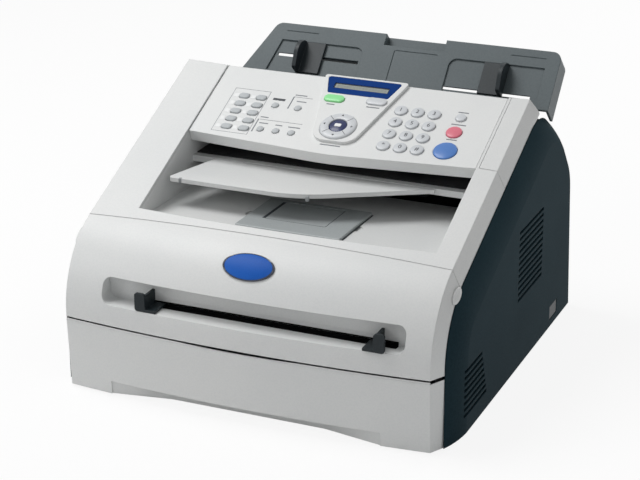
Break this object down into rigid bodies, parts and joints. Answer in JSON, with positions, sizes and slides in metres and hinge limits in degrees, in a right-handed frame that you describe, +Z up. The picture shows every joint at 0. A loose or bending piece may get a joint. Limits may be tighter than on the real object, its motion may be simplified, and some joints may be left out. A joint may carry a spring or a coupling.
{
  "type": "fax machine",
  "caption": "Desktop laser fax machine with a bowed front cover, pull-out paper tray, sloped key panel, sunken output tray and steep document feeder.",
  "frame": {"origin": "middle of the footprint on the floor", "axes": "+X to the machine's right as its user faces it, +Y to the back, +Z up"},
  "size_m": [0.38, 0.364, 0.2726],
  "materials": {
    "light": "fine grain",
    "dark": "fine grain",
    "tray_grey": "satin",
    "chassis": "moulded",
    "steel": "pressed",
    "rubber": "matt",
    "board": "satin",
    "black": "satin",
    "key_grey": "satin",
    "green": "gloss",
    "red": "gloss",
    "blue": "gloss",
    "display": "clear"
  },
  "bodies": {
    "machine": {"base_frame": "chassis", "rubber_feet": "rubber", "left_side_cover": "dark", "right_side_cover": "dark", "rear_cover": "dark", "power_inlet": "black", "line_jacks": "black", "upper_case": "light", "right_arm_cap": "light", "document_tray": "tray_grey", "scan_unit": "chassis", "toner_cartridge": "chassis", "drum_unit": "chassis", "laser_unit": "chassis", "fuser_unit": "chassis", "main_board": "board", "power_supply": "board"},
    "paper_tray": {"paper_tray": "light"},
    "lift_plate": {"lift_plate": "steel"},
    "tray_guide_left": {"tray_guide_left": "black"},
    "tray_guide_right": {"tray_guide_right": "black"},
    "front_cover": {"front_cover": "light", "badge": "blue"},
    "feed_guide_left": {"feed_guide_left": "dark"},
    "feed_guide_right": {"feed_guide_right": "dark"},
    "output_flap": {"output_flap": "tray_grey"},
    "flap_extension": {"flap_extension": "tray_grey"},
    "document_support": {"document_support": "light"},
    "control_panel": {"control_panel": "light", "soft_keys": "key_grey", "display_bezel": "blue", "lcd_screen": "display"},
    "nav_ring": {"nav_ring": "key_grey"},
    "key_star": {"key_star": "key_grey"},
    "key_0": {"key_0": "key_grey"},
    "key_hash": {"key_hash": "key_grey"},
    "key_7": {"key_7": "key_grey"},
    "key_8": {"key_8": "key_grey"},
    "key_9": {"key_9": "key_grey"},
    "key_4": {"key_4": "key_grey"},
    "key_5": {"key_5": "key_grey"},
    "key_6": {"key_6": "key_grey"},
    "key_1": {"key_1": "key_grey"},
    "key_2": {"key_2": "key_grey"},
    "key_3": {"key_3": "key_grey"},
    "start_key": {"start_key": "blue"},
    "stop_key": {"stop_key": "red"},
    "options_key": {"options_key": "key_grey"},
    "fax_key": {"fax_key": "green"},
    "copy_key": {"copy_key": "key_grey"},
    "nav_key": {"nav_key": "tray_grey"},
    "document_guide_left": {"document_guide_left": "dark"},
    "document_guide_right": {"document_guide_right": "dark"},
    "guide_pinion": {"guide_pinion": "black"},
    "back_door": {"back_door": "dark"},
    "power_switch": {"power_switch": "black"},
    "pickup_roller": {"pickup_roller": "rubber"},
    "document_roller": {"document_roller": "rubber"},
    "exit_roller": {"exit_roller": "rubber"}
  },
  "joints": [
    {"name": "tray_slide", "type": "slide", "parent": "machine", "child": "paper_tray", "axis": [0, -1, 0], "range_m": [0, 0.25]},
    {"name": "lift_plate_tilt", "type": "hinge", "parent": "paper_tray", "child": "lift_plate", "pos_m": [0, 0.0284, 0.0104], "axis": [-1, 0, 0], "range_deg": [0, 8]},
    {"name": "tray_guide_left_slide", "type": "slide", "parent": "paper_tray", "child": "tray_guide_left", "axis": [1, 0, 0], "range_m": [0, 0.04]},
    {"name": "tray_guide_right_slide", "type": "slide", "parent": "paper_tray", "child": "tray_guide_right", "axis": [1, 0, 0], "range_m": [-0.04, 0]},
    {"name": "front_cover_hinge", "type": "hinge", "parent": "machine", "child": "front_cover", "pos_m": [0, -0.1756, 0.074], "axis": [1, 0, 0], "range_deg": [0, 78]},
    {"name": "feed_guide_left_slide", "type": "slide", "parent": "front_cover", "child": "feed_guide_left", "axis": [1, 0, 0], "range_m": [0, 0.06]},
    {"name": "feed_guide_right_slide", "type": "slide", "parent": "front_cover", "child": "feed_guide_right", "axis": [1, 0, 0], "range_m": [-0.06, 0]},
    {"name": "output_flap_hinge", "type": "hinge", "parent": "machine", "child": "output_flap", "pos_m": [0, -0.0916, 0.1497], "axis": [1, 0, 0], "range_deg": [0, 10]},
    {"name": "flap_extension_hinge", "type": "hinge", "parent": "output_flap", "child": "flap_extension", "pos_m": [0, -0.0236, 0.148], "axis": [-1, 0, 0], "range_deg": [0, 8]},
    {"name": "document_support_hinge", "type": "hinge", "parent": "machine", "child": "document_support", "pos_m": [0, -0.0039, 0.173], "axis": [-1, 0, 0], "range_deg": [0, 35]},
    {"name": "control_panel_hinge", "type": "hinge", "parent": "machine", "child": "control_panel", "pos_m": [0, -0.00086, 0.19726], "axis": [1, 0, 0], "range_deg": [0, 50]},
    {"name": "key_star_press", "type": "slide", "parent": "control_panel", "child": "key_star", "axis": [0, 0.4067, -0.9135], "range_m": [0, 0.001], "stiffness_N_per_m": 400},
    {"name": "key_0_press", "type": "slide", "parent": "control_panel", "child": "key_0", "axis": [0, 0.4067, -0.9135], "range_m": [0, 0.001], "stiffness_N_per_m": 400},
    {"name": "key_hash_press", "type": "slide", "parent": "control_panel", "child": "key_hash", "axis": [0, 0.4067, -0.9135], "range_m": [0, 0.001], "stiffness_N_per_m": 400},
    {"name": "key_7_press", "type": "slide", "parent": "control_panel", "child": "key_7", "axis": [0, 0.4067, -0.9135], "range_m": [0, 0.001], "stiffness_N_per_m": 400},
    {"name": "key_8_press", "type": "slide", "parent": "control_panel", "child": "key_8", "axis": [0, 0.4067, -0.9135], "range_m": [0, 0.001], "stiffness_N_per_m": 400},
    {"name": "key_9_press", "type": "slide", "parent": "control_panel", "child": "key_9", "axis": [0, 0.4067, -0.9135], "range_m": [0, 0.001], "stiffness_N_per_m": 400},
    {"name": "key_4_press", "type": "slide", "parent": "control_panel", "child": "key_4", "axis": [0, 0.4067, -0.9135], "range_m": [0, 0.001], "stiffness_N_per_m": 400},
    {"name": "key_5_press", "type": "slide", "parent": "control_panel", "child": "key_5", "axis": [0, 0.4067, -0.9135], "range_m": [0, 0.001], "stiffness_N_per_m": 400},
    {"name": "key_6_press", "type": "slide", "parent": "control_panel", "child": "key_6", "axis": [0, 0.4067, -0.9135], "range_m": [0, 0.001], "stiffness_N_per_m": 400},
    {"name": "key_1_press", "type": "slide", "parent": "control_panel", "child": "key_1", "axis": [0, 0.4067, -0.9135], "range_m": [0, 0.001], "stiffness_N_per_m": 400},
    {"name": "key_2_press", "type": "slide", "parent": "control_panel", "child": "key_2", "axis": [0, 0.4067, -0.9135], "range_m": [0, 0.001], "stiffness_N_per_m": 400},
    {"name": "key_3_press", "type": "slide", "parent": "control_panel", "child": "key_3", "axis": [0, 0.4067, -0.9135], "range_m": [0, 0.001], "stiffness_N_per_m": 400},
    {"name": "start_key_press", "type": "slide", "parent": "control_panel", "child": "start_key", "axis": [0, 0.4067, -0.9135], "range_m": [0, 0.001], "stiffness_N_per_m": 400},
    {"name": "stop_key_press", "type": "slide", "parent": "control_panel", "child": "stop_key", "axis": [0, 0.4067, -0.9135], "range_m": [0, 0.001], "stiffness_N_per_m": 400},
    {"name": "options_key_press", "type": "slide", "parent": "control_panel", "child": "options_key", "axis": [0, 0.4067, -0.9135], "range_m": [0, 0.001], "stiffness_N_per_m": 400},
    {"name": "fax_key_press", "type": "slide", "parent": "control_panel", "child": "fax_key", "axis": [0, 0.4067, -0.9135], "range_m": [0, 0.001], "stiffness_N_per_m": 400},
    {"name": "copy_key_press", "type": "slide", "parent": "control_panel", "child": "copy_key", "axis": [0, 0.4067, -0.9135], "range_m": [0, 0.001], "stiffness_N_per_m": 400},
    {"name": "nav_key_press", "type": "slide", "parent": "control_panel", "child": "nav_key", "axis": [0, 0.4067, -0.9135], "range_m": [0, 0.001], "stiffness_N_per_m": 400},
    {"name": "nav_ring_press", "type": "slide", "parent": "control_panel", "child": "nav_ring", "axis": [0, 0.4067, -0.9135], "range_m": [0, 0.001], "stiffness_N_per_m": 400},
    {"name": "document_guide_left_slide", "type": "slide", "parent": "machine", "child": "document_guide_left", "axis": [1, 0, 0], "range_m": [-0.007, 0.03]},
    {"name": "document_guide_right_slide", "type": "slide", "parent": "machine", "child": "document_guide_right", "axis": [1, 0, 0], "range_m": [-0.03, 0.007]},
    {"name": "guide_pinion_turn", "type": "hinge", "parent": "machine", "child": "guide_pinion", "pos_m": [0.035, 0.11019, 0.2405], "axis": [0, -0.7278, 0.6858], "range_deg": [-215.9, 51.1]},
    {"name": "back_door_hinge", "type": "hinge", "parent": "machine", "child": "back_door", "pos_m": [0, 0.17542, 0.07785], "axis": [-1, 0, 0], "range_deg": [0, 75]},
    {"name": "power_switch_rock", "type": "hinge", "parent": "machine", "child": "power_switch", "pos_m": [0.18875, 0.1284, 0.017], "axis": [0, 0, 1], "range_deg": [0, 6]},
    {"name": "pickup_roller_turn", "type": "hinge", "parent": "machine", "child": "pickup_roller", "pos_m": [0, -0.1296, 0.084], "axis": [1, 0, 0], "continuous": true},
    {"name": "document_roller_turn", "type": "hinge", "parent": "machine", "child": "document_roller", "pos_m": [0.0123, 0.0514, 0.1975], "axis": [1, 0, 0], "continuous": true},
    {"name": "exit_roller_turn", "type": "hinge", "parent": "machine", "child": "exit_roller", "pos_m": [0.0123, 0.0524, 0.152], "axis": [1, 0, 0], "continuous": true}
  ],
  "couplings": [
    {"joint": "tray_guide_right_slide", "follows": "tray_guide_left_slide", "ratio": -1},
    {"joint": "feed_guide_right_slide", "follows": "feed_guide_left_slide", "ratio": -1},
    {"joint": "document_guide_right_slide", "follows": "document_guide_left_slide", "ratio": -1},
    {"joint": "guide_pinion_turn", "follows": "document_guide_left_slide", "rad_per_m": -125}
  ]
}
